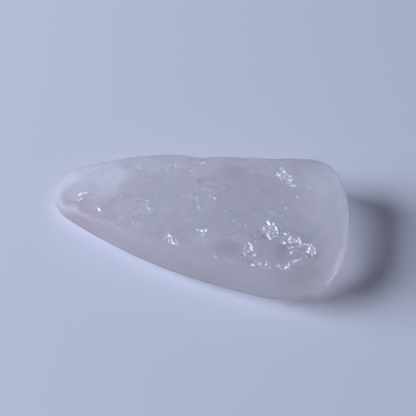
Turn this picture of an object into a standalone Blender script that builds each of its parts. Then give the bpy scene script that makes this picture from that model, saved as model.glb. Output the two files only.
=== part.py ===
"""Rose quartz: one natural stone, ground smooth round its edge and left rough on top.

The stone is a flat pear shape that lies on a small flat spot. Seen from above, a blunt tip
points along -X and the wide end along +X. The rough upper face carries flake scars, shallow
shell-shaped dents and a few hollows lined with small quartz points. It is modelled as one grid
that is laid over the upper face, carried down round the edge and closed by the flat spot.
"""

import bmesh
import bpy
import numpy as np
from mathutils import Vector

MM = 0.001
NAME = "rose_quartz_stone"

# The widest outline, seen from above, in millimetres, anticlockwise from the front of the tip.
OUTLINE = [
    (-19.9, -0.5),
    (-18.0, -2.4),
    (-14.0, -4.6),
    (-7.0, -7.6),
    (0.0, -9.8),
    (7.0, -11.2),
    (13.0, -11.7),
    (17.6, -10.0),
    (20.3, -6.1),
    (21.0, -0.6),
    (20.7, 4.4),
    (19.5, 8.6),
    (16.2, 10.8),
    (10.5, 10.6),
    (3.5, 9.9),
    (-4.0, 9.5),
    (-10.5, 8.6),
    (-16.0, 7.3),
    (-19.8, 5.3),
    (-20.8, 2.2),
]
# Where the four sides of the outline meet, counted in outline points.
TIP_FRONT, WIDE_FRONT, WIDE_BACK, TIP_BACK = 0.6, 7.3, 11.6, 18.2

# The ground edge, in millimetres, where it faces the wide end, the back, the tip and the front.
EDGE_RUN = (3.1, 1.1, 1.3, 2.0)
WIDEST_HEIGHT = (2.3, 2.6, 1.1, 1.6)
UNDERCUT = (4.4, 4.2, 2.0, 3.4)

# The upper face before its scars: its height at the middle, and its rise along X and Y.
MIDDLE_HEIGHT = 5.0
RISE_ALONG = 0.045
RISE_ACROSS = 0.075

# Flakes struck off the upper face: two points of the ridge and the fall beyond it. A flake lies
# to the left of the line from its first point to its second, and turns into a hollow slope.
FLAKES = [
    ((-13.4, -1.2), (-6.4, 9.5), 0.20),
    ((-4.5, -6.9), (-16.6, 1.0), 0.28),
    ((17.8, -12.0), (-8.0, -5.6), 0.13),
    ((15.2, 12.0), (17.6, 2.0), 0.14),
    ((11.0, 11.5), (19.0, 5.0), 0.14),
]
RIDGE_SOFTNESS = 0.35

# Shallow shell-shaped dents: centre, half length, half width, turn in degrees and depth.
DENTS = [
    ((3.6, 5.4), 4.6, 2.6, 15, 0.40),
    ((-0.6, -4.8), 4.0, 1.9, -15, 0.26),
    ((9.8, -2.6), 3.8, 2.6, -20, 0.36),
    ((13.4, 2.8), 4.2, 2.4, 25, 0.24),
    ((-6.6, -1.4), 2.0, 3.0, 10, 0.24),
    ((-9.8, 3.6), 2.6, 1.7, 50, 0.22),
    ((5.6, -7.2), 4.2, 2.0, -8, 0.26),
    ((-2.0, 2.0), 2.0, 2.8, -10, 0.22),
    ((6.0, -0.4), 2.8, 1.8, 30, 0.22),
    ((-0.2, 9.8), 3.4, 2.6, 0, 0.30),
    ((8.4, 10.6), 3.2, 2.4, 0, 0.34),
    ((-15.8, 3.4), 2.6, 1.6, 30, 0.18),
    ((19.4, 4.2), 2.0, 1.2, 70, 0.16),
]

# Hollows lined with quartz points: centre, half length, half width, turn in degrees and depth.
HOLLOWS = [
    ((10.6, -3.6), 1.7, 1.3, 20, 0.50),
    ((13.6, -4.9), 1.6, 0.8, -25, 0.42),
    ((16.4, -6.1), 1.8, 0.9, -30, 0.42),
    ((8.6, -7.2), 0.7, 1.5, 0, 0.36),
    ((10.0, -9.7), 1.5, 0.8, -15, 0.36),
    ((14.0, -8.9), 1.9, 0.9, 25, 0.42),
    ((-2.8, -7.2), 1.7, 0.9, 20, 0.36),
    ((11.3, 6.7), 1.6, 0.8, -35, 0.36),
    ((18.4, -1.4), 1.0, 1.2, 0, 0.22),
    ((-16.2, 0.4), 0.9, 0.6, -20, 0.22),
]
POINT_SPACING = 0.8
POINT_HEIGHT = 0.30

# Waves over the whole upper face, and the shifts that make every scar uneven: wavelength and
# half height in millimetres.
WAVES = [(9.0, 0.34), (4.2, 0.18), (2.0, 0.07)]
SHIFTS = [(5.0, 1.6), (2.0, 0.6)]

GRID_ALONG, GRID_ACROSS = 150, 84
SMOOTH_BORDER = 0.03
EDGE_ROWS = 14
KEPT_SHARE = 0.235


def closed_curve(points, places):
    """Points of the smooth closed curve through points; places counts along it in points."""
    points = np.asarray(points, float)
    count = len(points)
    link = 4 * np.eye(count) + np.roll(np.eye(count), 1, 0) + np.roll(np.eye(count), -1, 0)
    tangents = np.linalg.solve(link, 3 * (np.roll(points, -1, 0) - np.roll(points, 1, 0)))
    start = np.floor(places).astype(int) % count
    end = (start + 1) % count
    s = (places - np.floor(places))[:, None]
    return (
        points[start] * (1 + 2 * s) * (1 - s) ** 2
        + tangents[start] * s * (1 - s) ** 2
        + points[end] * (3 - 2 * s) * s**2
        + tangents[end] * (s - 1) * s**2
    )


def side_places(first, last, steps):
    """Places from first to last along the outline that lie the same distance apart."""
    fine = np.linspace(first, last, 400)
    lengths = np.linalg.norm(np.diff(closed_curve(OUTLINE, fine), axis=0), axis=1)
    travelled = np.concatenate([[0], np.cumsum(lengths)])
    return np.interp(np.linspace(0, travelled[-1], steps + 1), travelled, fine)


def outward(places):
    """The direction in which the edge faces at each place, seen from above."""
    step = 0.01
    along = closed_curve(OUTLINE, places + step) - closed_curve(OUTLINE, places - step)
    along /= np.linalg.norm(along, axis=1)[:, None]
    return np.stack([along[:, 1], -along[:, 0]], 1)


def by_side(sizes, facing):
    """A size of the edge that blends from side to side as the edge turns."""
    wide, back, tip, front = sizes
    x, y = facing.T
    return np.where(x > 0, wide, tip) * x**2 + np.where(y > 0, back, front) * y**2


def crest(places):
    """The line where the rough upper face meets the ground edge."""
    facing = outward(places)
    return closed_curve(OUTLINE, places) - by_side(EDGE_RUN, facing)[:, None] * facing


def chance(cell_x, cell_y, seed):
    """A number from 0 to 1 for each cell of a square grid, always the same for one seed."""
    mixed = np.sin(cell_x * 12.9898 + cell_y * 78.233 + seed * 37.719) * 43758.5453
    return mixed - np.floor(mixed)


def noise(x, y, seed):
    """Smooth gradient noise, about -0.7 to 0.7, with one wave to each unit of x and y."""
    cell_x, cell_y = np.floor(x), np.floor(y)
    total = np.zeros_like(x)
    for right in (0, 1):
        for up in (0, 1):
            turn = 2 * np.pi * chance(cell_x + right, cell_y + up, seed)
            dx, dy = x - cell_x - right, y - cell_y - up
            fade_x, fade_y = [1 - d * d * d * (d * (6 * d - 15) + 10) for d in (abs(dx), abs(dy))]
            total += fade_x * fade_y * (dx * np.cos(turn) + dy * np.sin(turn))
    return total


def bowl(x, y, centre, half_length, half_width, turn):
    """1 at the centre of an oval, falling to 0 at its rim and below 0 outside it."""
    c, s = np.cos(np.radians(turn)), np.sin(np.radians(turn))
    along = ((x - centre[0]) * c + (y - centre[1]) * s) / half_length
    across = ((y - centre[1]) * c - (x - centre[0]) * s) / half_width
    return 1 - along**2 - across**2


def quartz_points(x, y):
    """Height from 0 to 1 of close-packed six-sided points, each leaning on its neighbours."""
    x, y = x / POINT_SPACING, y / POINT_SPACING
    cell_x, cell_y = np.floor(x), np.floor(y)
    height = np.zeros_like(x)
    for right in (-1, 0, 1):
        for up in (-1, 0, 1):
            cell = cell_x + right, cell_y + up
            dx = x - cell[0] - chance(*cell, 1)
            dy = y - cell[1] - chance(*cell, 2)
            first = chance(*cell, 3) * np.pi
            faces = [abs(dx * np.cos(first + a) + dy * np.sin(first + a)) for a in np.radians([0, 60, 120])]
            height = np.maximum(height, 0.6 + 0.4 * chance(*cell, 4) - np.max(faces, axis=0))
    return height


def lower_of(a, b, softness):
    """The lower of two heights, with the ridge between them rounded over softness."""
    share = np.clip(0.5 + 0.5 * (b - a) / softness, 0, 1)
    return b + (a - b) * share - softness * share * (1 - share)


def upper_height(x, y, hollowed=1.0):
    """Height of the rough upper face at x and y in millimetres; hollowed 0 leaves out hollows."""
    plain = MIDDLE_HEIGHT + RISE_ALONG * x + RISE_ACROSS * y
    uneven_x = x + sum(size * noise(x / wave, y / wave, 11) for wave, size in SHIFTS)
    uneven_y = y + sum(size * noise(x / wave, y / wave, 12) for wave, size in SHIFTS)

    height = plain + sum(size * noise(x / wave, y / wave, wave) for wave, size in WAVES)
    for (ax, ay), (bx, by), fall in FLAKES:
        length = np.hypot(bx - ax, by - ay)
        beyond = ((bx - ax) * (uneven_y - ay) - (by - ay) * (uneven_x - ax)) / length
        height = lower_of(height, plain + 0.15 - fall * beyond, RIDGE_SOFTNESS)

    sunk = np.zeros_like(x)
    for centre, half_length, half_width, turn, depth in DENTS:
        sunk = np.maximum(sunk, depth * bowl(uneven_x, uneven_y, centre, half_length, half_width, turn))
    for centre, half_length, half_width, turn, depth in HOLLOWS:
        inside = np.clip(bowl(uneven_x, uneven_y, centre, half_length, half_width, turn), 0, 1)
        lined = depth * np.sqrt(inside) - POINT_HEIGHT * np.clip(3 * inside, 0, 1) * quartz_points(x, y)
        sunk = np.where(inside > 0, sunk + lined * hollowed, sunk)
    return height - sunk


def lay_upper_grid(body, key):
    """Lay a flat grid over the upper face, between the four sides of the crest line."""
    sides = {
        "front": side_places(TIP_FRONT, WIDE_FRONT, GRID_ALONG),
        "wide": side_places(WIDE_FRONT, WIDE_BACK, GRID_ACROSS),
        "back": side_places(WIDE_BACK, TIP_BACK, GRID_ALONG)[::-1],
        "tip": side_places(TIP_BACK, TIP_FRONT + len(OUTLINE), GRID_ACROSS)[::-1],
    }
    bmesh.ops.create_grid(body, x_segments=GRID_ALONG, y_segments=GRID_ACROSS, size=0.5)
    flat = np.array([vertex.co[:2] for vertex in body.verts]) + 0.5
    column, row = np.rint(flat * (GRID_ALONG, GRID_ACROSS)).astype(int).T
    u, v = flat[:, :1], flat[:, 1:]
    tip_front, wide_front, wide_back, tip_back = crest(np.array([TIP_FRONT, WIDE_FRONT, WIDE_BACK, TIP_BACK]))
    plan = (
        (1 - v) * crest(sides["front"])[column]
        + v * crest(sides["back"])[column]
        + (1 - u) * crest(sides["tip"])[row]
        + u * crest(sides["wide"])[row]
        - (1 - u) * (1 - v) * tip_front
        - u * (1 - v) * wide_front
        - u * v * wide_back
        - (1 - u) * v * tip_back
    )
    from_border = np.min([flat, 1 - flat], axis=(0, 2))
    height = upper_height(*plan.T, np.clip(from_border / SMOOTH_BORDER, 0, 1))
    for vertex, (x, y), z in zip(body.verts, plan, height):
        vertex.co = x * MM, y * MM, z * MM

    rim = {}
    for vertex, c, r in zip(body.verts, column, row):
        if vertex.is_boundary:
            side, step = ("front", c) if r == 0 else ("wide", r) if c == GRID_ALONG else ("back", c)
            side, step = ("tip", r) if c == 0 else (side, step)
            rim[vertex] = sides[side][step]
    places = []
    for vertex, place in rim.items():
        vertex[key] = len(places)
        places.append(place)
    return np.array(places), np.array([vertex.co.z / MM for vertex in rim])


def round_the_edge(body, key, places, crest_height):
    """Carry the grid's border down round the ground edge, row by row, and close it flat."""
    outline, facing = closed_curve(OUTLINE, places), outward(places)
    run, widest, under = (by_side(sizes, facing) for sizes in (EDGE_RUN, WIDEST_HEIGHT, UNDERCUT))
    border = [edge for edge in body.edges if edge.is_boundary]
    for turn in np.linspace(0, np.pi, EDGE_ROWS + 1)[1:]:
        if turn <= np.pi / 2:
            inset = run * (1 - np.sin(turn))
            height = widest + (crest_height - widest) * np.cos(turn)
        else:
            inset = under * (1 - np.sin(turn))
            height = widest * (1 + np.cos(turn))
        plan = outline - facing * inset[:, None]
        made = bmesh.ops.extrude_edge_only(body, edges=border)["geom"]
        border = [item for item in made if isinstance(item, bmesh.types.BMEdge) and item.is_boundary]
        for vertex in {vertex for edge in border for vertex in edge.verts}:
            x, y, z = *plan[vertex[key]], height[vertex[key]]
            vertex.co = x * MM, y * MM, z * MM
    bmesh.ops.contextual_create(body, geom=border)
    bmesh.ops.recalc_face_normals(body, faces=body.faces)


def stone_mesh():
    """The closed surface of the stone."""
    body = bmesh.new()
    key = body.verts.layers.int.new("place_on_rim")
    places, crest_height = lay_upper_grid(body, key)
    round_the_edge(body, key, places, crest_height)
    mesh = bpy.data.meshes.new(NAME)
    body.to_mesh(mesh)
    body.free()
    mesh.shade_smooth()
    return mesh


def milky_pink_quartz():
    """Pale, milky quartz with a breath of pink, half see-through."""
    material = bpy.data.materials.new("rose_quartz")
    material.use_nodes = True
    surface = material.node_tree.nodes["Principled BSDF"]
    surface.inputs["Base Color"].default_value = (0.62, 0.56, 0.60, 1.0)
    surface.inputs["Roughness"].default_value = 0.35
    surface.inputs["Metallic"].default_value = 0.0
    surface.inputs["IOR"].default_value = 1.544
    surface.inputs["Transmission Weight"].default_value = 0.5
    return material


def outline_middle():
    """The middle of the outline's box, in metres, which becomes the origin."""
    outline = closed_curve(OUTLINE, np.linspace(0, len(OUTLINE), 2000))
    x, y = (outline.min(0) + outline.max(0)) / 2 * MM
    return x, y, 0.0


def main():
    for old in list(bpy.data.objects):
        bpy.data.objects.remove(old)
    stone = bpy.data.objects.new(NAME, stone_mesh())
    stone.location -= Vector(outline_middle())
    stone.data.materials.append(milky_pink_quartz())
    collection = bpy.data.collections.new("rose_quartz")
    bpy.context.scene.collection.children.link(collection)
    collection.objects.link(stone)
    fewer = stone.modifiers.new("fewer_faces", "DECIMATE")
    fewer.ratio = KEPT_SHARE


main()
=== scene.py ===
"""Rose quartz: the looks of one natural stone, ground smooth round its edge and rough on top.

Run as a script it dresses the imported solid: a fine surface takes the solid's place, with the
hollows, chips and cracks of broken quartz, in milky quartz that lets light through.
"""

import bpy
import numpy as np
from bpy.props import FloatProperty, FloatVectorProperty, IntProperty, PointerProperty
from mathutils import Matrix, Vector


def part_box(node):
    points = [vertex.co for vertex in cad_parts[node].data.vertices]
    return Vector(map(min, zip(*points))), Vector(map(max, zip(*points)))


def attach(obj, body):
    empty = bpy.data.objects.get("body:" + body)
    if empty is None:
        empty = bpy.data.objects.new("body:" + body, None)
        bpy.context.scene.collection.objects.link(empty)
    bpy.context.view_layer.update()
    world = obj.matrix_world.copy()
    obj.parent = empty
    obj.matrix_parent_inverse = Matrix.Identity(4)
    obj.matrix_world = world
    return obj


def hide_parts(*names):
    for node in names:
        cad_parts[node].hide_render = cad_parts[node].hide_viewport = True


bl_info = {
    "name": "Rose Quartz Stone",
    "version": (1, 0, 0),
    "blender": (4, 5, 0),
    "location": "3D View > Sidebar > Rose Quartz",
    "description": "Makes a milky rose quartz stone with a rough face and a ground edge",
    "category": "Add Mesh",
}

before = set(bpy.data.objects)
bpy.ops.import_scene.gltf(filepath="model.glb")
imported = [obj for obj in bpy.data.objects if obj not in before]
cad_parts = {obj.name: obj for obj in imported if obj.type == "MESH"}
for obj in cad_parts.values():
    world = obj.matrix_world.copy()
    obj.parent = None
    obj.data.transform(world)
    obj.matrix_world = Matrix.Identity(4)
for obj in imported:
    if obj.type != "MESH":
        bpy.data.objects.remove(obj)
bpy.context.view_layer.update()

MM = 0.001
NODE = "rose_quartz_stone"

# The form, in millimetres, is the solid's own. Its outline runs anticlockwise from the front of
# the blunt tip, seen from above.
OUTLINE = [
    (-19.9, -0.5),
    (-18.0, -2.4),
    (-14.0, -4.6),
    (-7.0, -7.6),
    (0.0, -9.8),
    (7.0, -11.2),
    (13.0, -11.7),
    (17.6, -10.0),
    (20.3, -6.1),
    (21.0, -0.6),
    (20.7, 4.4),
    (19.5, 8.6),
    (16.2, 10.8),
    (10.5, 10.6),
    (3.5, 9.9),
    (-4.0, 9.5),
    (-10.5, 8.6),
    (-16.0, 7.3),
    (-19.8, 5.3),
    (-20.8, 2.2),
]
# Where the four sides of the outline meet, counted in outline points.
TIP_FRONT, WIDE_FRONT, WIDE_BACK, TIP_BACK = 0.6, 7.3, 11.6, 18.2

# The ground edge where it faces the wide end, the back, the tip and the front.
EDGE_RUN = (3.1, 1.1, 1.3, 2.0)
WIDEST_HEIGHT = (2.3, 2.6, 1.1, 1.6)
UNDERCUT = (4.4, 4.2, 2.0, 3.4)
# Steps in which the length of a side and the box of the outline are measured.
SIDE_STEPS, BOX_STEPS = 400, 2000

# The upper face before its scars: its height at the middle, and its rise along X and Y.
MIDDLE_HEIGHT = 5.0
RISE_ALONG = 0.045
RISE_ACROSS = 0.075

# Flakes struck off: two points of the ridge and the fall to the left of the line between them.
# The plane of each flake starts FLAKE_LIFT above the plain face.
FLAKE_LIFT = 0.15
FLAKES = [
    ((-13.4, -1.2), (-6.4, 9.5), 0.20),
    ((-4.5, -6.9), (-16.6, 1.0), 0.28),
    ((17.8, -12.0), (-8.0, -5.6), 0.13),
    ((15.2, 12.0), (17.6, 2.0), 0.14),
    ((11.0, 11.5), (19.0, 5.0), 0.14),
    ((-14.2, -6.0), (-14.2, 9.0), 0.42),
]
RIDGE_SOFTNESS = 0.35

# Shallow shell-shaped dents: centre, half length, half width, turn in degrees and depth.
DENTS = [
    ((3.6, 5.4), 4.6, 2.6, 15, 0.40),
    ((-0.6, -4.8), 4.0, 1.9, -15, 0.26),
    ((9.8, -2.6), 3.8, 2.6, -20, 0.36),
    ((13.4, 2.8), 4.2, 2.4, 25, 0.24),
    ((-6.6, -1.4), 2.0, 3.0, 10, 0.24),
    ((-9.8, 3.6), 2.6, 1.7, 50, 0.22),
    ((5.6, -7.2), 4.2, 2.0, -8, 0.26),
    ((-2.0, 2.0), 2.0, 2.8, -10, 0.22),
    ((6.0, -0.4), 2.8, 1.8, 30, 0.22),
    ((-0.2, 9.8), 3.4, 2.6, 0, 0.30),
    ((8.4, 10.6), 3.2, 2.4, 0, 0.34),
    ((19.4, 4.2), 2.0, 1.2, 70, 0.16),
]

# Hollows lined with quartz points: centre, half length, half width, turn in degrees and depth.
HOLLOWS = [
    ((10.6, -3.6), 1.7, 1.3, 20, 0.50),
    ((13.6, -4.9), 1.6, 0.8, -25, 0.42),
    ((16.4, -6.1), 1.8, 0.9, -30, 0.42),
    ((8.6, -7.2), 0.7, 1.5, 0, 0.36),
    ((10.0, -9.7), 1.5, 0.8, -15, 0.36),
    ((14.0, -8.9), 1.9, 0.9, 25, 0.42),
    ((-2.8, -7.2), 1.7, 0.9, 20, 0.36),
    ((11.3, 6.7), 1.6, 0.8, -35, 0.36),
    ((18.4, -1.4), 1.0, 1.2, 0, 0.22),
    ((-16.2, 0.4), 0.7, 0.5, -20, 0.10),
]
POINT_SPACING = 0.50
POINT_HEIGHT = 0.45
# The lowest point's height as a share of POINT_HEIGHT, how much the others may add to it, and how
# steeply the points set in at a hollow's rim.
LOWEST_POINT, POINT_RANGE = 0.6, 0.4
POINT_RIM = 3

# Breaks that catch the window: straight strokes, each with its two ends and its width.
BREAKS = [
    ((10.1, -1.8), (10.4, -2.1), 0.36),
    ((10.9, -1.9), (11.1, -2.5), 0.30),
    ((11.3, -2.6), (11.9, -3.1), 0.30),
    ((10.1, -3.5), (10.5, -3.2), 0.30),
    ((10.5, -4.0), (10.8, -4.6), 0.26),
    ((10.8, -4.7), (11.5, -4.2), 0.28),
    ((12.8, -3.6), (13.5, -3.7), 0.30),
    ((13.5, -3.7), (13.6, -4.4), 0.32),
    ((13.6, -4.5), (12.8, -4.4), 0.28),
    ((12.6, -5.3), (12.9, -5.3), 0.30),
    ((13.4, -5.2), (14.4, -4.7), 0.28),
    ((13.4, -6.1), (14.8, -5.3), 0.24),
    ((13.4, -6.5), (14.1, -6.5), 0.24),
    ((14.6, -6.4), (14.7, -6.1), 0.30),
    ((15.3, -5.3), (16.7, -5.2), 0.32),
    ((16.1, -5.5), (16.6, -5.9), 0.52),
    ((15.5, -6.5), (16.6, -6.1), 0.30),
    ((16.7, -6.0), (17.2, -6.8), 0.34),
    ((17.2, -6.8), (17.5, -7.5), 0.36),
    ((16.7, -7.4), (16.8, -7.5), 0.24),
    ((8.5, -6.2), (8.8, -6.9), 0.44),
    ((8.6, -7.5), (9.2, -7.7), 0.34),
    ((8.2, -5.8), (8.4, -6.0), 0.24),
    ((9.0, -5.5), (9.0, -5.7), 0.22),
    ((9.2, -9.4), (9.6, -9.3), 0.50),
    ((9.9, -9.2), (10.0, -9.0), 0.24),
    ((9.5, -10.1), (9.9, -10.0), 0.42),
    ((10.3, -9.7), (10.9, -10.1), 0.54),
    ((12.6, -9.2), (12.7, -9.3), 0.34),
    ((13.1, -9.6), (13.8, -9.0), 0.46),
    ((13.7, -8.8), (13.9, -9.1), 0.54),
    ((13.5, -9.3), (14.0, -9.7), 0.44),
    ((14.4, -9.3), (14.5, -9.4), 0.26),
    ((13.0, -10.1), (13.4, -10.0), 0.28),
    ((14.1, -8.4), (15.1, -7.8), 0.22),
    ((15.3, -8.3), (15.4, -8.4), 0.28),
    ((10.0, 7.0), (10.5, 6.6), 0.46),
    ((11.1, 7.2), (11.3, 6.6), 0.42),
    ((12.1, 5.9), (12.4, 5.5), 0.44),
    ((12.5, 4.7), (12.9, 4.8), 0.44),
    ((14.7, 4.7), (14.7, 4.8), 0.28),
    ((13.5, 3.0), (13.6, 2.8), 0.26),
    ((-0.8, 7.6), (-0.2, 7.7), 0.26),
    ((3.4, -0.6), (4.0, -0.2), 0.24),
    ((3.8, -1.1), (4.3, -0.8), 0.24),
    ((2.3, 1.2), (2.5, 1.1), 0.24),
    ((-17.1, 0.4), (-16.7, 0.0), 0.24),
    ((-16.3, -0.7), (-16.1, -0.5), 0.26),
    ((-13.2, -2.4), (-12.9, -2.7), 0.24),
    ((-6.9, -0.2), (-6.6, -1.2), 0.22),
    ((-6.6, -1.2), (-6.0, -2.4), 0.22),
    ((-4.2, 6.9), (-4.0, 6.2), 0.28),
    ((-1.6, 5.9), (-1.5, 5.6), 0.36),
    ((0.0, 1.0), (0.5, -0.9), 0.22),
    ((6.0, -3.3), (7.1, -3.0), 0.26),
    ((1.0, -4.5), (2.3, -4.6), 0.30),
    ((-3.2, -7.6), (-2.6, -7.3), 0.34),
    ((-2.2, -7.3), (-1.4, -7.2), 0.64),
    ((-2.3, -6.5), (-1.6, -6.5), 0.40),
    ((6.6, -8.6), (6.7, -9.5), 0.24),
]
# How a break rises along X and Y: the breaks lie along one cleavage, so they all face one way,
# less a small spread. The face's own rise is measured over SLOPE_STEP.
BREAK_RISE = (0.76, 0.72)
BREAK_SPREAD = 0.12
SLOPE_STEP = 0.15
# The narrowest and the widest tread, the rim's softness, and the waves that its line follows.
TREADS = (0.32, 0.52)
BREAK_SOFTNESS = 0.05
BREAK_SHIFTS = [(0.9, 0.22), (0.35, 0.14)]
# Gaps in the breaks: the wave of their noise, and the level under which there is no break.
GAP_WAVE, GAP_LEVEL = 0.6, -0.28

# Cracks and pinholes, painted dark inside as shade: strokes as above, and how deep they go.
CRACK_DEPTH = 0.14
CRACKS = [
    ((9.8, -1.8), (9.9, -2.2), 0.22),
    ((11.8, -2.7), (12.1, -3.3), 0.20),
    ((11.7, -3.8), (12.2, -3.7), 0.20),
    ((9.8, -3.4), (10.3, -4.5), 0.28),
    ((10.4, -3.0), (10.5, -3.5), 0.18),
    ((9.3, -1.1), (9.4, -1.1), 0.22),
    ((13.2, -4.0), (13.3, -3.9), 0.24),
    ((12.3, -5.3), (12.4, -5.5), 0.20),
    ((8.6, -9.1), (8.8, -9.2), 0.26),
    ((15.0, -6.4), (15.6, -5.7), 0.20),
    ((11.1, -8.2), (12.0, -8.7), 0.16),
    ((12.0, -8.7), (12.5, -9.0), 0.16),
    ((16.4, -8.7), (16.5, -8.7), 0.24),
    ((16.7, -8.0), (17.2, -7.9), 0.20),
    ((-0.8, 7.2), (0.2, 7.2), 0.18),
    ((8.5, 3.8), (8.9, 3.9), 0.22),
    ((-7.6, -2.9), (-7.2, -4.3), 0.14),
    ((3.2, -9.6), (3.4, -9.6), 0.24),
    ((6.2, -10.0), (6.3, -10.0), 0.24),
    ((4.7, 2.0), (5.4, 1.4), 0.14),
]

# Chips too small to place one by one: their grid, how many of its cells have one, their half size,
# their slope, and the bearing towards which they rise with how far it strays. Sparks are the ones
# that face as the breaks do, and lie in two fields.
CHIPS = (1.1, 0.5, (0.12, 0.40), (0.05, 0.35), 0, 180)
SPARKS = (1.3, 0.4, (0.07, 0.20), (0.75, 1.25), 43, 25)
# How much longer a chip is than wide, and the squares in which sparks thin out beside a field.
CHIP_OVAL = 1.5
SPARK_SQUARE = 0.5
SPARK_FIELDS = [
    ((8.5, -6.0), 9.0, 5.5, -10),
    ((12.0, 3.5), 5.0, 5.0, 0),
    ((2.0, 1.0), 5.0, 4.0, 0),
]

# Tinted clouds: centre, half length, half width and turn in degrees. Some of the patches are painted
# light, as said at each list.
# Rosy patches of the stone's own; the ones at the wide end's rim paint the warm glow of light coming
# through the stone.
BLUSH_AND_GLOW = [
    ((7.0, 0.9), 1.8, 3.0, 0),
    ((11.9, 3.1), 1.9, 1.4, 0),
    ((10.3, -2.8), 0.7, 0.8, 0),
    ((-15.0, -3.0), 3.4, 1.6, -25),
    ((-10.8, -5.4), 2.9, 1.2, -20),
    ((-6.3, -6.8), 0.6, 0.6, 0),
    ((18.9, -6.1), 2.4, 4.8, 0),
    ((19.0, 3.3), 1.1, 2.4, 0),
    ((14.0, 8.3), 1.3, 1.4, 0),
]
# Patches that make the stone darker and bluer.
DEEP = [
    ((4.2, 6.5), 2.2, 1.7, 0),
    ((5.6, -7.0), 2.9, 1.6, 0),
    ((12.3, -7.1), 1.3, 1.8, 0),
    ((9.7, -3.9), 0.9, 1.2, 0),
    ((-0.1, 4.1), 1.1, 1.4, 0),
]
# Whitish veils, with painted highlight and glow: the patches round the wide end, at its corner and rims,
# whiten the stone where light shines out of it.
VEIL_AND_HIGHLIGHT = [
    ((1.7, -5.8), 2.4, 1.4, 0),
    ((17.0, -0.4), 2.0, 1.4, 0),
    ((19.1, -1.9), 1.0, 1.4, 0),
    ((16.8, 5.0), 4.0, 6.0, 0),
    ((12.0, -11.0), 8.0, 2.4, -5),
    ((-12.1, 3.3), 4.3, 1.8, 0),
    ((-1.8, -7.2), 1.3, 1.0, 0),
    ((12.2, 5.6), 1.8, 1.4, -30),
]
# Each tint lies over the ones before it.
TINTS = {"deep": DEEP, "veil_and_highlight": VEIL_AND_HIGHLIGHT, "blush_and_glow": BLUSH_AND_GLOW}

# Relief: wavelengths and heights of the face's waves, of the shifts that make ovals uneven and of
# the grain.
WAVES = [(9.0, 0.34), (4.2, 0.18), (2.0, 0.09), (1.3, 0.05)]
SHIFTS = [(5.0, 1.6), (2.0, 0.6)]
GRAIN = [(1.1, 0.033), (0.55, 0.022), (0.3, 0.010)]
# The rim of the face that has no hollows, as a share of its width, and how much narrower it is
# at the two ends, counted in shares of the length.
SMOOTH_BORDER = 0.03
ENDS_BORDER = 2.5
# How ground the edge is where it begins, and how far into the face that fades.
GROUND_SHARE = 0.35
GROUND_BORDER = 0.14
# The mesh's columns lie closer together towards the wide end, where most of the breaks are.
CROWDING = 0.35

# Clouds in the material: size in metres, detail, and the noise levels stretched to 0 and 1.
MILK_CLOUD = (0.0022, 6, 0.35, 0.65)
PINK_CLOUD = (0.009, 2, 0.5, 0.7)
SATIN_CLOUD = (0.0018, 5, 0.35, 0.65)
BUMP_CLOUD = (0.0004, 4, 0.3, 0.7)
BUMP_HEIGHT = 0.00005
# Roughness of the face from its glossiest to its dullest cloud, and of each finish over it.
FACE_ROUGHNESS = (0.46, 0.90)
ROUGHNESS = {"deep": 0.45, "ground": 0.73, "veil_and_highlight": 1.0, "lined": 0.45, "broken": 0.40}
# How much the worn and the fresh faces gleam.
WORN_GLEAM, FRESH_GLEAM = 0.12, 1.0


def closed_curve(points, places):
    """The closed cubic curve whose slopes make its bends join smoothly, at places along it."""
    points = np.asarray(points, float)
    count = len(points)
    link = 4 * np.eye(count) + np.roll(np.eye(count), 1, 0) + np.roll(np.eye(count), -1, 0)
    tangents = np.linalg.solve(link, 3 * (np.roll(points, -1, 0) - np.roll(points, 1, 0)))
    start = np.floor(places).astype(int) % count
    end = (start + 1) % count
    s = (places - np.floor(places))[:, None]
    return (
        points[start] * (1 + 2 * s) * (1 - s) ** 2
        + tangents[start] * s * (1 - s) ** 2
        + points[end] * (3 - 2 * s) * s**2
        + tangents[end] * (s - 1) * s**2
    )


def crowded(shares):
    """Shares from 0 to 1, moved by a parabola so that they lie closer together towards 1."""
    return shares + CROWDING * shares * (1 - shares)


def side_places(first, last, shares):
    """Places along the outline that are those shares of the way from first to last."""
    fine = np.linspace(first, last, SIDE_STEPS)
    lengths = np.linalg.norm(np.diff(closed_curve(OUTLINE, fine), axis=0), axis=1)
    travelled = np.concatenate([[0], np.cumsum(lengths)])
    return np.interp(shares * travelled[-1], travelled, fine)


def outward(places):
    """The direction in which the edge faces: the outline's direction turned right by 90 degrees."""
    step = 0.01
    along = closed_curve(OUTLINE, places + step) - closed_curve(OUTLINE, places - step)
    along /= np.linalg.norm(along, axis=1)[:, None]
    return np.stack([along[:, 1], -along[:, 0]], 1)


def by_side(sizes, facing):
    """A size of the edge, weighted by the squares of how far the edge faces each side."""
    wide, back, tip, front = sizes
    x, y = facing.T
    return np.where(x > 0, wide, tip) * x**2 + np.where(y > 0, back, front) * y**2


def crest(places):
    """The line where the rough face meets the ground edge: the outline, moved in by its run."""
    facing = outward(places)
    return closed_curve(OUTLINE, places) - by_side(EDGE_RUN, facing)[:, None] * facing


def chance(cell_x, cell_y, seed):
    """A number from 0 to 1 for each cell of a square grid: the decimals of a large sine."""
    large = np.sin(cell_x * 12.9898 + cell_y * 78.233 + seed * 37.719) * 43758.5453
    return large - np.floor(large)


def noise(x, y, seed):
    """Smooth noise: each grid corner's random slope, faded out to its neighbouring corners."""
    cell_x, cell_y = np.floor(x), np.floor(y)
    total = np.zeros_like(x)
    for right in (0, 1):
        for up in (0, 1):
            turn = 2 * np.pi * chance(cell_x + right, cell_y + up, seed)
            dx, dy = x - cell_x - right, y - cell_y - up
            fade_x, fade_y = [1 - d * d * d * (d * (6 * d - 15) + 10) for d in (abs(dx), abs(dy))]
            total += fade_x * fade_y * (dx * np.cos(turn) + dy * np.sin(turn))
    return total


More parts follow.
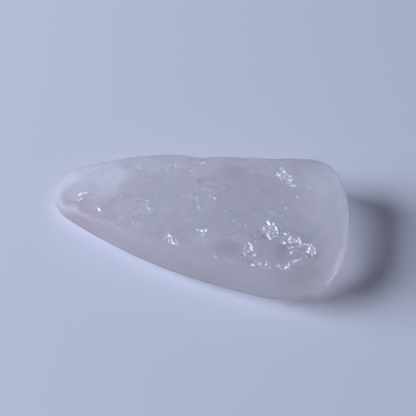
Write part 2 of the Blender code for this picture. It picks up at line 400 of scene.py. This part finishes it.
def bowl(x, y, centre, half_length, half_width, turn):
    """1 less the squared distance from an oval's centre, counted in its half axes."""
    c, s = np.cos(np.radians(turn)), np.sin(np.radians(turn))
    along = ((x - centre[0]) * c + (y - centre[1]) * s) / half_length
    across = ((y - centre[1]) * c - (x - centre[0]) * s) / half_width
    return 1 - along**2 - across**2


def quartz_points(x, y, spacing):
    """The highest of many six-sided pyramids, one at a random place in each cell of a grid."""
    x, y = x / spacing, y / spacing
    cell_x, cell_y = np.floor(x), np.floor(y)
    height = np.zeros_like(x)
    for right in (-1, 0, 1):
        for up in (-1, 0, 1):
            cell = cell_x + right, cell_y + up
            dx = x - cell[0] - chance(*cell, 1)
            dy = y - cell[1] - chance(*cell, 2)
            first = chance(*cell, 3) * np.pi
            turns = first + np.radians([0, 60, 120])[:, None, None]
            fall = np.max(abs(dx * np.cos(turns) + dy * np.sin(turns)), axis=0)
            height = np.maximum(height, LOWEST_POINT + POINT_RANGE * chance(*cell, 4) - fall)
    return height


def lower_of(a, b, softness):
    """The lower of two heights, with the ridge between them rounded by a parabola."""
    share = np.clip(0.5 + 0.5 * (b - a) / softness, 0, 1)
    return b + (a - b) * share - softness * share * (1 - share)


def uneven(x, y):
    """x and y shifted by noise, so that a drawn oval becomes an uneven natural patch."""
    shifted_x = x + sum(size * noise(x / wave, y / wave, 11) for wave, size in SHIFTS)
    shifted_y = y + sum(size * noise(x / wave, y / wave, 12) for wave, size in SHIFTS)
    return shifted_x, shifted_y


def from_stroke(x, y, start, end):
    """The distance from a straight stroke: from its line, or from its nearer end beyond that."""
    along_x, along_y = end[0] - start[0], end[1] - start[1]
    share = ((x - start[0]) * along_x + (y - start[1]) * along_y) / (along_x**2 + along_y**2)
    share = np.clip(share, 0, 1)
    return np.hypot(x - start[0] - share * along_x, y - start[1] - share * along_y)


def worn_face(x, y):
    """The face's height before its breaks: a tilted plane with waves, less its flakes and dents."""
    plain = MIDDLE_HEIGHT + RISE_ALONG * x + RISE_ACROSS * y
    uneven_x, uneven_y = uneven(x, y)
    height = plain + sum(size * noise(x / wave, y / wave, wave) for wave, size in WAVES)
    for (ax, ay), (bx, by), fall in FLAKES:
        length = np.hypot(bx - ax, by - ay)
        beyond = ((bx - ax) * (uneven_y - ay) - (by - ay) * (uneven_x - ax)) / length
        height = lower_of(height, plain + FLAKE_LIFT - fall * beyond, RIDGE_SOFTNESS)
    dented = np.zeros_like(x)
    for *oval, depth in DENTS:
        dented = np.maximum(dented, depth * bowl(uneven_x, uneven_y, *oval))
    return height - dented


def face_rise(x, y):
    """The worn face's rise along X and along Y."""
    along = worn_face(x + SLOPE_STEP, y) - worn_face(x - SLOPE_STEP, y)
    across = worn_face(x, y + SLOPE_STEP) - worn_face(x, y - SLOPE_STEP)
    return along / (2 * SLOPE_STEP), across / (2 * SLOPE_STEP)


def breaks(x, y):
    """The bright breaks: flights of treads, each rising as BREAK_RISE says and then falling sheer.

    The face's own slope at a break's middle is taken off the rise. Returns how far each point lies
    in a break, from 0 to 1, and its depth there.
    """
    number = np.arange(len(BREAKS), dtype=float)
    middles = np.array([np.add(start, end) / 2 for start, end, _ in BREAKS])
    face_x, face_y = face_rise(*middles.T)
    rise_x = BREAK_RISE[0] - face_x + BREAK_SPREAD * (2 * chance(number, 0, 43) - 1)
    rise_y = BREAK_RISE[1] - face_y + BREAK_SPREAD * (2 * chance(number, 0, 46) - 1)
    slopes = np.hypot(rise_x, rise_y)
    treads = TREADS[0] + (TREADS[1] - TREADS[0]) * chance(number, 0, 44)

    rim_x = x + sum(size * noise(x / wave, y / wave, 41) for wave, size in BREAK_SHIFTS)
    rim_y = y + sum(size * noise(x / wave, y / wave, 42) for wave, size in BREAK_SHIFTS)
    whole = noise(x / GAP_WAVE, y / GAP_WAVE, 47) > GAP_LEVEL
    inside, depth = np.zeros_like(x), np.zeros_like(x)
    for (start, end, width), *rise, slope, tread in zip(BREAKS, rise_x, rise_y, slopes, treads):
        top = max(np.dot(start, rise), np.dot(end, rise)) / slope + width / 2
        climbed = ((x * rise[0] + y * rise[1]) / slope - top) / tread
        within = width / 2 - from_stroke(rim_x, rim_y, start, end)
        here = np.clip(within / BREAK_SOFTNESS + 1, 0, 1) * whole
        sheer = slope * tread * (1 - (climbed - np.floor(climbed)))
        depth = np.where(here > inside, sheer, depth)
        inside = np.maximum(inside, here)
    return inside, depth


def cracks(x, y):
    """How far each point lies in a crack or pinhole, from 0 at its rim to 1 on its line."""
    x = x + sum(size * noise(x / wave, y / wave, 51) for wave, size in BREAK_SHIFTS)
    y = y + sum(size * noise(x / wave, y / wave, 52) for wave, size in BREAK_SHIFTS)
    inside = np.zeros_like(x)
    for start, end, width in CRACKS:
        inside = np.maximum(inside, 1 - from_stroke(x, y, start, end) / (width / 2))
    return inside


def chips(x, y, kind):
    """The depth of small chips: ovals of random size in a grid's cells, each tilted its own way."""
    spacing, share, half_sizes, tilts, bearing, stray = kind
    x, y = x / spacing, y / spacing
    cell_x, cell_y = np.floor(x), np.floor(y)
    depth = np.zeros_like(x)
    for right in (-1, 0, 1):
        for up in (-1, 0, 1):
            cell = cell_x + right, cell_y + up
            dx = (x - cell[0] - chance(*cell, 61)) * spacing
            dy = (y - cell[1] - chance(*cell, 62)) * spacing
            half = half_sizes[0] + (half_sizes[1] - half_sizes[0]) * chance(*cell, 63) ** 2
            slope = tilts[0] + (tilts[1] - tilts[0]) * chance(*cell, 64)
            rising = np.radians(bearing + stray * (2 * chance(*cell, 65) - 1))
            along = dx * np.cos(rising) + dy * np.sin(rising)
            across = dy * np.cos(rising) - dx * np.sin(rising)
            inside = (along / half) ** 2 + (across / half / CHIP_OVAL) ** 2 < 1
            present = chance(*cell, 66) < share
            depth = np.maximum(depth, np.where(inside & present, slope * (half - along), 0))
    return depth


def soft_ovals(x, y, ovals):
    """Soft ovals that fade from 1 at their middles to 0 at their rims."""
    share = np.zeros_like(x)
    for oval in ovals:
        share = np.maximum(share, np.clip(bowl(x, y, *oval), 0, 1))
    return share * share * (3 - 2 * share)


def rough_face(x, y, hollowed):
    """The rough face: the worn face, less its hollows, chips, breaks and cracks.

    Returns its height and the finish masks there, each from 0 to 1.
    """
    worn = worn_face(x, y)
    uneven_x, uneven_y = uneven(x, y)
    sunk, lined = np.zeros_like(x), np.zeros_like(x)
    points = POINT_HEIGHT * quartz_points(x, y, POINT_SPACING)
    for *oval, depth in HOLLOWS:
        inside = np.clip(bowl(uneven_x, uneven_y, *oval), 0, 1)
        lining = np.clip(POINT_RIM * inside, 0, 1)
        sunk += depth * inside - points * lining
        lined = np.maximum(lined, lining)
    grain = sum(size * noise(x / wave, y / wave, 20 + wave) for wave, size in GRAIN)
    rough = worn + grain - hollowed * (sunk + chips(uneven_x, uneven_y, CHIPS))
    square = np.floor(x / SPARK_SQUARE), np.floor(y / SPARK_SQUARE)
    sparks = chips(x, y, SPARKS) * (soft_ovals(x, y, SPARK_FIELDS) > chance(*square, 71))
    broken, steps = breaks(x, y)
    steps = np.where(broken > 0, steps, sparks)
    broken = np.maximum(broken, sparks > 0) * (hollowed > 0)
    cracked = np.clip(cracks(x, y), 0, 1) * (hollowed > 0)
    height = rough + broken * (worn - steps - rough) - CRACK_DEPTH * np.sqrt(cracked)
    masks = {name: soft_ovals(uneven_x, uneven_y, ovals) for name, ovals in TINTS.items()}
    masks.update(lined=lined * hollowed, broken=broken, cracked=cracked)
    return height, masks


def stone_surface(along, across, edge_rows):
    """The stone's points, faces and finish masks.

    The rough face is a grid blended between the four sides of the crest. Each row of the edge
    below it turns a step further round a quarter ellipse out to the outline, and then round
    another back under the stone, to the flat spot that closes it.
    """
    lengthways = crowded(np.linspace(0, 1, along + 1))
    widthways = np.linspace(0, 1, across + 1)
    front = side_places(TIP_FRONT, WIDE_FRONT, lengthways)
    wide = side_places(WIDE_FRONT, WIDE_BACK, widthways)
    back = side_places(WIDE_BACK, TIP_BACK, 1 - lengthways[::-1])
    tip = side_places(TIP_BACK, TIP_FRONT + len(OUTLINE), widthways)
    u, v = lengthways[None, :, None], widthways[:, None, None]
    ends = crest(np.array([TIP_FRONT, WIDE_FRONT, WIDE_BACK, TIP_BACK]))
    tip_front, wide_front, wide_back, tip_back = ends
    plan = (
        (1 - v) * crest(front)[None]
        + v * crest(back[::-1])[None]
        + (1 - u) * crest(tip[::-1])[:, None]
        + u * crest(wide)[:, None]
        - (1 - u) * (1 - v) * tip_front
        - u * (1 - v) * wide_front
        - u * v * wide_back
        - (1 - u) * v * tip_back
    )
    from_border = np.minimum(ENDS_BORDER * np.minimum(u, 1 - u), np.minimum(v, 1 - v))[:, :, 0]
    hollowed = np.clip(from_border / SMOOTH_BORDER, 0, 1)
    height, face_masks = rough_face(plan[:, :, 0], plan[:, :, 1], hollowed)
    face_points = np.dstack([plan, height]).reshape(-1, 3)

    number = np.arange(face_points.shape[0]).reshape(across + 1, along + 1)
    border = np.concatenate([number[0, :-1], number[:-1, -1], number[-1, :0:-1], number[:0:-1, 0]])
    places = np.concatenate([front[:-1], wide[:-1], back[:-1], tip[:-1]])
    outline, facing = closed_curve(OUTLINE, places), outward(places)
    run, widest, under = (by_side(sizes, facing) for sizes in (EDGE_RUN, WIDEST_HEIGHT, UNDERCUT))
    turn = np.linspace(0, np.pi, edge_rows + 1)[1:, None]
    upper = turn <= np.pi / 2
    inset = np.where(upper, run, under) * (1 - np.sin(turn))
    edge_height = widest + np.where(upper, face_points[border, 2] - widest, widest) * np.cos(turn)
    edge_plan = outline[None] - facing[None] * inset[:, :, None]
    edge_points = np.dstack([edge_plan, edge_height]).reshape(-1, 3)

    grid_faces = np.stack([number[:-1, :-1], number[:-1, 1:], number[1:, 1:], number[1:, :-1]], 2)
    edge_number = len(face_points) + np.arange(len(edge_points)).reshape(edge_rows, -1)
    rows = np.vstack([border, edge_number])
    beside = np.roll(rows, -1, 1)
    edge_faces = np.stack([rows[:-1], rows[1:], beside[1:], beside[:-1]], 2)
    quads = np.concatenate([grid_faces.reshape(-1, 4), edge_faces.reshape(-1, 4)])

    points = np.concatenate([face_points, edge_points])
    face_ground = GROUND_SHARE * (1 - np.clip(from_border.ravel() / GROUND_BORDER, 0, 1)) ** 2
    edge_ground = GROUND_SHARE + (1 - GROUND_SHARE) * np.sin(np.minimum(turn, np.pi / 2))
    masks = {"ground": np.concatenate([face_ground, np.repeat(edge_ground[:, 0], len(places))])}
    for name, values in face_masks.items():
        around = values.ravel()[border] * (name in TINTS)
        masks[name] = np.concatenate([values.ravel(), np.tile(around, edge_rows)])
    return points, quads, rows[-1][::-1], masks


def solid_middle():
    """The middle of the outline's box, which is the solid's origin."""
    outline = closed_curve(OUTLINE, np.linspace(0, len(OUTLINE), BOX_STEPS))
    return (outline.min(0) + outline.max(0)) / 2


def sharpen(mesh, corners):
    """Make the edges that start at those face corners sharp.

    Flat faces would look the same, but the renderer counts a ray that goes in through a flat face
    and out through a smooth one as still inside the quartz.
    """
    corner_edges = np.empty(len(mesh.loops), np.int32)
    mesh.loops.foreach_get("edge_index", corner_edges)
    sharp = np.zeros(len(mesh.edges), bool)
    sharp[corner_edges[corners]] = True
    layer = mesh.attributes.new("sharp_edge", "BOOLEAN", "EDGE")
    layer.data.foreach_set("value", sharp)


def stone_mesh(along, across, edge_rows):
    """The stone's surface as a mesh in metres, kept inside the solid's box."""
    points, quads, flat_spot, masks = stone_surface(along, across, edge_rows)
    points[:, :2] -= solid_middle()
    low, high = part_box(NODE)
    points = np.clip(points * MM, low, high)
    mesh = bpy.data.meshes.new(NODE)
    mesh.vertices.add(len(points))
    mesh.vertices.foreach_set("co", points.astype(np.float32).ravel())
    corners = np.concatenate([quads.ravel(), flat_spot])
    starts = np.concatenate([np.arange(len(quads)) * 4, [quads.size]])
    mesh.loops.add(len(corners))
    mesh.loops.foreach_set("vertex_index", corners.astype(np.int32))
    mesh.polygons.add(len(starts))
    mesh.polygons.foreach_set("loop_start", starts.astype(np.int32))
    mesh.update(calc_edges=True)
    mesh.validate()
    fresh = (masks["broken"] > 0) | (masks["lined"] > 0)
    facets = np.repeat(fresh[quads].any(axis=1), 4)
    sharpen(mesh, np.flatnonzero(facets))
    for name, values in masks.items():
        layer = mesh.attributes.new(name, "FLOAT", "POINT")
        layer.data.foreach_set("value", values.astype(np.float32))
    return mesh


def new_material(name):
    """An empty node material with its Principled BSDF; returns it, its tree and the shader."""
    material = bpy.data.materials.new(name)
    material.use_nodes = True
    tree = material.node_tree
    return material, tree, tree.nodes["Principled BSDF"]


def mask(tree, name):
    """The stored mask of that name, as a socket."""
    node = tree.nodes.new("ShaderNodeAttribute")
    node.attribute_name = name
    return node.outputs["Fac"]


def cloud(tree, size, detail, low, high):
    """Noise of a size in metres on Object coordinates, stretched from low and high to 0 and 1."""
    place = tree.nodes.new("ShaderNodeTexCoord")
    texture = tree.nodes.new("ShaderNodeTexNoise")
    texture.inputs["Scale"].default_value = 1 / size
    texture.inputs["Detail"].default_value = detail
    tree.links.new(place.outputs["Object"], texture.inputs["Vector"])
    spread = tree.nodes.new("ShaderNodeMapRange")
    spread.inputs["From Min"].default_value = low
    spread.inputs["From Max"].default_value = high
    tree.links.new(texture.outputs["Fac"], spread.inputs["Value"])
    return spread.outputs["Result"]


def give(tree, value, socket):
    """Link a socket's value to a socket, or set a colour or number on it."""
    if isinstance(value, bpy.types.NodeSocket):
        tree.links.new(value, socket)
    elif isinstance(value, (int, float)):
        socket.default_value = value
    else:
        socket.default_value = (*value, 1.0)


def mixed(tree, share, first, second):
    """Two colours mixed by a share."""
    node = tree.nodes.new("ShaderNodeMix")
    node.data_type = "RGBA"
    for place, value in ((0, share), (6, first), (7, second)):
        give(tree, value, node.inputs[place])
    return node.outputs[2]


def between(tree, share, first, second):
    """Two numbers mixed by a share."""
    node = tree.nodes.new("ShaderNodeMix")
    for place, value in ((0, share), (2, first), (3, second)):
        give(tree, value, node.inputs[place])
    return node.outputs[0]


def milky_quartz(look):
    """Milky quartz, which light passes through: fresh breaks gleam and the ground edge is satin."""
    material, tree, shader = new_material("rose_quartz")
    colour = mixed(tree, cloud(tree, *MILK_CLOUD), look.clear_colour, look.milky_colour)
    colour = mixed(tree, cloud(tree, *PINK_CLOUD), colour, look.pink_colour)
    # The ground edge is whiter and warmer: partly its satin finish, partly painted glow where light
    # comes out at the rim.
    colour = mixed(tree, mask(tree, "ground"), colour, look.ground_colour)
    # The veil and blush tints paint highlight and warm glow round the wide end, besides the stone's own
    # veils and rosy patches.
    for name in TINTS:
        colour = mixed(tree, mask(tree, name), colour, getattr(look, name + "_colour"))
    # Painted shade: the cracks and pinholes are coloured dark inside.
    colour = mixed(tree, mask(tree, "cracked"), colour, look.crack_shade_colour)
    tree.links.new(colour, shader.inputs["Base Color"])
    roughness = between(tree, cloud(tree, *SATIN_CLOUD), *FACE_ROUGHNESS)
    for name, value in ROUGHNESS.items():
        roughness = between(tree, mask(tree, name), roughness, value)
    tree.links.new(roughness, shader.inputs["Roughness"])
    shader.inputs["IOR"].default_value = 1.544
    shader.inputs["Transmission Weight"].default_value = 0.975
    shader.inputs["Subsurface Weight"].default_value = 1.0
    shader.inputs["Subsurface Radius"].default_value = (0.003, 0.0025, 0.0025)
    shader.inputs["Subsurface Scale"].default_value = 1.0
    gleam = between(tree, mask(tree, "broken"), WORN_GLEAM, FRESH_GLEAM)
    gleam = between(tree, mask(tree, "lined"), gleam, FRESH_GLEAM)
    tree.links.new(gleam, shader.inputs["Coat Weight"])
    shader.inputs["Coat Roughness"].default_value = 0.16
    bump = tree.nodes.new("ShaderNodeBump")
    bump.inputs["Strength"].default_value = 0.7
    bump.inputs["Distance"].default_value = BUMP_HEIGHT
    tree.links.new(cloud(tree, *BUMP_CLOUD), bump.inputs["Height"])
    tree.links.new(bump.outputs["Normal"], shader.inputs["Normal"])
    inside = tree.nodes.new("ShaderNodeVolumeAbsorption")
    inside.inputs["Color"].default_value = (0.88, 0.84, 0.85, 1.0)
    inside.inputs["Density"].default_value = 20.0
    tree.links.new(inside.outputs["Volume"], tree.nodes["Material Output"].inputs["Volume"])
    return material


def pale_paper(stage):
    """Matt pale paper."""
    material, _, shader = new_material("pale_paper")
    shader.inputs["Base Color"].default_value = (*stage.floor_colour, 1.0)
    shader.inputs["Roughness"].default_value = 0.9
    return material


def steps_property(name, description, default):
    """A count of steps in the stone's surface."""
    return IntProperty(name=name, description=description, default=default, min=8)


def colour_property(name, description, default):
    """A colour."""
    return FloatVectorProperty(
        name=name, description=description, default=default, subtype="COLOR", min=0, max=1
    )


def angle_property(name, description, degrees):
    """An angle, given in degrees."""
    return FloatProperty(
        name=name, description=description, default=np.radians(degrees), subtype="ANGLE"
    )


class RoseQuartzLook(bpy.types.PropertyGroup):
    """Sizes and colours of the stone."""

    along: steps_property("Steps along", "Grid steps along the rough face", 400)
    across: steps_property("Steps across", "Grid steps across the rough face", 190)
    edge_rows: steps_property("Edge rows", "Rows of faces round the ground edge", 16)
    milky_colour: colour_property("Milky colour", "Where the quartz is milky", (1.0, 1.0, 1.0))
    clear_colour: colour_property("Clear colour", "Where the quartz is nearly clear", (0.82, 0.84, 0.88))
    pink_colour: colour_property("Pink colour", "Colour of the pink clouds", (0.98, 0.93, 0.93))
    # Partly the satin edge's own colour, partly painted glow at the rim.
    ground_colour: colour_property("Ground colour", "Colour of the ground edge", (1.0, 0.95, 0.92))
    # Makes the patches darker and bluer.
    deep_colour: colour_property("Deep colour", "Where the quartz is clear and dark", (0.74, 0.75, 0.80))
    # White veils, and painted highlight and glow round the wide end.
    veil_and_highlight_colour: colour_property("Veil colour", "Colour of the white veils", (1.0, 1.0, 1.0))
    # Rosy patches, and painted warm glow at the wide end's rim.
    blush_and_glow_colour: colour_property("Blush colour", "Colour of the rosy patches", (0.96, 0.86, 0.84))
    # Painted shade inside the cracks and pinholes.
    crack_shade_colour: colour_property("Crack colour", "Colour deep in the cracks", (0.45, 0.43, 0.47))


class RoseQuartzStage(bpy.types.PropertyGroup):
    """The floor, the window light and the room's own light."""

    floor_colour: colour_property("Floor colour", "Colour of the floor", (0.78, 0.78, 0.78))
    light_colour: colour_property("Light colour", "Colour of the window light", (0.66, 0.73, 1.0))
    light_power: FloatProperty(
        name="Light power", description="Window light in watts", default=24.0, min=0
    )
    light_size: FloatVectorProperty(
        name="Light size",
        description="Width and height of the window",
        default=(0.65, 0.57),
        size=2,
        min=0,
        unit="LENGTH",
    )
    light_distance: FloatProperty(
        name="Light distance",
        description="How far the window stands from the stone",
        default=1.0,
        min=0.1,
        unit="LENGTH",
    )
    light_bearing: angle_property("Light bearing", "Direction of the window, from the wide end", 185)
    light_height: angle_property("Light height", "How high the window stands", 20.5)
    room_colour: colour_property("Room colour", "Colour of the room's own light", (0.70, 0.76, 1.0))
    room_power: FloatProperty(
        name="Room power", description="Strength of the room's own light", default=0.045, min=0
    )


class ROSEQUARTZ_OT_stone(bpy.types.Operator):
    """Make the stone's fine surface and its quartz"""

    bl_idname = "rose_quartz.stone"
    bl_label = "Stone"

    def execute(self, context):
        look = context.scene.rose_quartz_look
        stone = bpy.data.objects.new("stone", stone_mesh(look.along, look.across, look.edge_rows))
        context.scene.collection.objects.link(stone)
        stone.data.materials.append(milky_quartz(look))
        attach(stone, "root")
        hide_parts(NODE)
        return {"FINISHED"}


# The floor in metres, and how far it lies below the stone.
FLOOR_SIZE = 4.0
FLOOR_GAP = 0.03 * MM
# The photograph's view: where the camera looks on the floor, how far off it stands, at what
# angles and with what lens.
AIM = Vector((0.90, 4.52, 0.0)) * MM
DISTANCE = 140.3 * MM
AZIMUTH, ELEVATION = np.radians(10), np.radians(46)
LENS = 85
NEAREST = 0.01


class ROSEQUARTZ_OT_stage(bpy.types.Operator):
    """Make the floor, the window light and the camera"""

    bl_idname = "rose_quartz.stage"
    bl_label = "Stage"

    def execute(self, context):
        stage = context.scene.rose_quartz_stage
        bpy.ops.mesh.primitive_plane_add(size=FLOOR_SIZE)
        floor = context.object
        floor.name = "floor"
        floor.location.z = -FLOOR_GAP
        floor.data.materials.append(pale_paper(stage))

        light = bpy.data.lights.new("window", "AREA")
        light.energy = stage.light_power
        light.color = stage.light_colour
        light.shape = "RECTANGLE"
        light.size, light.size_y = stage.light_size
        window = bpy.data.objects.new("window", light)
        context.scene.collection.objects.link(window)
        towards = Vector((
            np.cos(stage.light_height) * np.cos(stage.light_bearing),
            np.cos(stage.light_height) * np.sin(stage.light_bearing),
            np.sin(stage.light_height),
        ))
        window.location = towards * stage.light_distance
        window.rotation_euler = towards.to_track_quat("Z", "Y").to_euler()

        world = bpy.data.worlds.new("room")
        world.use_nodes = True
        background = world.node_tree.nodes["Background"]
        background.inputs["Color"].default_value = (*stage.room_colour, 1.0)
        background.inputs["Strength"].default_value = stage.room_power
        context.scene.world = world
        context.scene.view_settings.view_transform = "Standard"

        lens = bpy.data.cameras.new("camera")
        lens.lens = LENS
        lens.clip_start = NEAREST
        camera = bpy.data.objects.new("camera", lens)
        context.scene.collection.objects.link(camera)
        back = Vector((
            np.cos(ELEVATION) * np.sin(AZIMUTH),
            -np.cos(ELEVATION) * np.cos(AZIMUTH),
            np.sin(ELEVATION),
        ))
        camera.location = AIM + DISTANCE * back
        camera.rotation_euler = back.to_track_quat("Z", "Y").to_euler()
        context.scene.camera = camera
        return {"FINISHED"}


class ROSEQUARTZ_PT_panel(bpy.types.Panel):
    """The stone's sizes and colours, and the buttons that make it"""

    bl_label = "Rose Quartz"
    bl_idname = "ROSEQUARTZ_PT_panel"
    bl_space_type = "VIEW_3D"
    bl_region_type = "UI"
    bl_category = "Rose Quartz"

    def draw(self, context):
        for group in (context.scene.rose_quartz_look, context.scene.rose_quartz_stage):
            for name in group.__annotations__:
                self.layout.prop(group, name)
        for operator in OPERATORS:
            self.layout.operator(operator.bl_idname)


GROUPS = (RoseQuartzLook, RoseQuartzStage)
OPERATORS = (ROSEQUARTZ_OT_stone, ROSEQUARTZ_OT_stage)


def register():
    for made in (*GROUPS, *OPERATORS, ROSEQUARTZ_PT_panel):
        bpy.utils.register_class(made)
    bpy.types.Scene.rose_quartz_look = PointerProperty(type=RoseQuartzLook)
    bpy.types.Scene.rose_quartz_stage = PointerProperty(type=RoseQuartzStage)


def unregister():
    del bpy.types.Scene.rose_quartz_stage
    del bpy.types.Scene.rose_quartz_look
    for made in (ROSEQUARTZ_PT_panel, *reversed(OPERATORS), *reversed(GROUPS)):
        bpy.utils.unregister_class(made)


def main():
    register()
    bpy.ops.rose_quartz.stone()
    bpy.ops.rose_quartz.stage()


if __name__ == "__main__":
    main()
